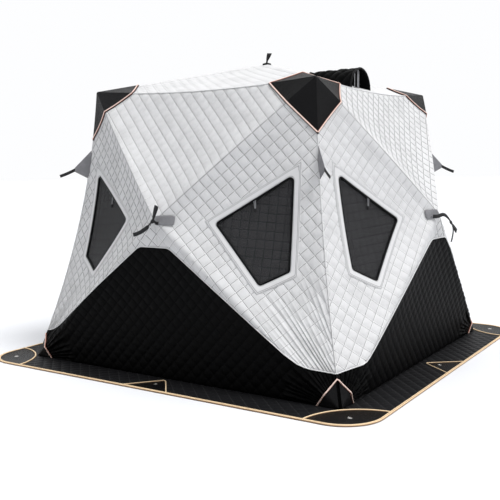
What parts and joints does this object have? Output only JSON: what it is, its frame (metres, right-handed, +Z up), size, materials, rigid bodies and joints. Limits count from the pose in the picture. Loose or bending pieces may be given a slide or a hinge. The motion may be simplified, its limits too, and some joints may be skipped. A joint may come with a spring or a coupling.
{
  "type": "pop-up ice fishing hut",
  "caption": "Square pop-up ice fishing shelter: quilted walls and roof pushed out by hubs with poles, tilted windows, roof vent hood and a ground skirt with grommets.",
  "frame": {"origin": "on the ground at the middle of the hut's square base", "axes": "+Z up, -Y towards the front wall, +X towards the wall under the vent hood"},
  "size_m": [2.92, 2.92, 2.16],
  "materials": {
    "light_quilt": "quilted oxford cloth, silver grey",
    "black_quilt": "quilted oxford cloth, black",
    "black_fabric": "smooth coated cloth, black, with orange piping",
    "grey_fabric": "smooth coated cloth, grey",
    "cover_quilt": "quilted inner cover, dark grey",
    "window_film": "clear flexible film, smoked",
    "webbing": "woven webbing, black",
    "pole": "glass-fibre poles with moulded hubs",
    "pocket_fabric": "reinforced pole pockets, black"
  },
  "bodies": {
    "root": {"front_upper_panel": "light_quilt", "front_lower_panel": "black_quilt", "front_left_panel": "light_quilt", "front_right_panel": "light_quilt", "right_upper_panel": "light_quilt", "right_lower_panel": "black_quilt", "right_left_panel": "light_quilt", "right_right_panel": "light_quilt", "back_upper_panel": "light_quilt", "back_lower_panel": "black_quilt", "back_left_panel": "light_quilt", "back_right_panel": "light_quilt", "left_upper_panel": "light_quilt", "left_lower_panel": "black_quilt", "left_left_panel": "light_quilt", "left_right_panel": "light_quilt", "front_roof_panel": "light_quilt", "right_roof_panel": "light_quilt", "back_roof_panel": "light_quilt", "left_roof_panel": "light_quilt", "front_windows": "window_film", "right_windows": "window_film", "back_windows": "window_film", "left_windows": "window_film", "window_covers": "cover_quilt", "roof_corner_caps": "black_fabric", "corner_feet": "black_fabric", "hub_patches": "grey_fabric", "guy_tabs": "grey_fabric", "vent_hood": "black_quilt", "roof_pull_tab": "webbing", "front_skirt": "black_quilt", "right_skirt": "black_quilt", "back_skirt": "black_quilt", "left_skirt": "black_quilt", "front_frame": "pole", "right_frame": "pole", "back_frame": "pole", "left_frame": "pole", "roof_frame": "pole", "corner_pockets": "pocket_fabric", "front_pull_strap": "webbing", "right_pull_strap": "webbing", "back_pull_strap": "webbing", "left_pull_strap": "webbing"}
  },
  "joints": []
}
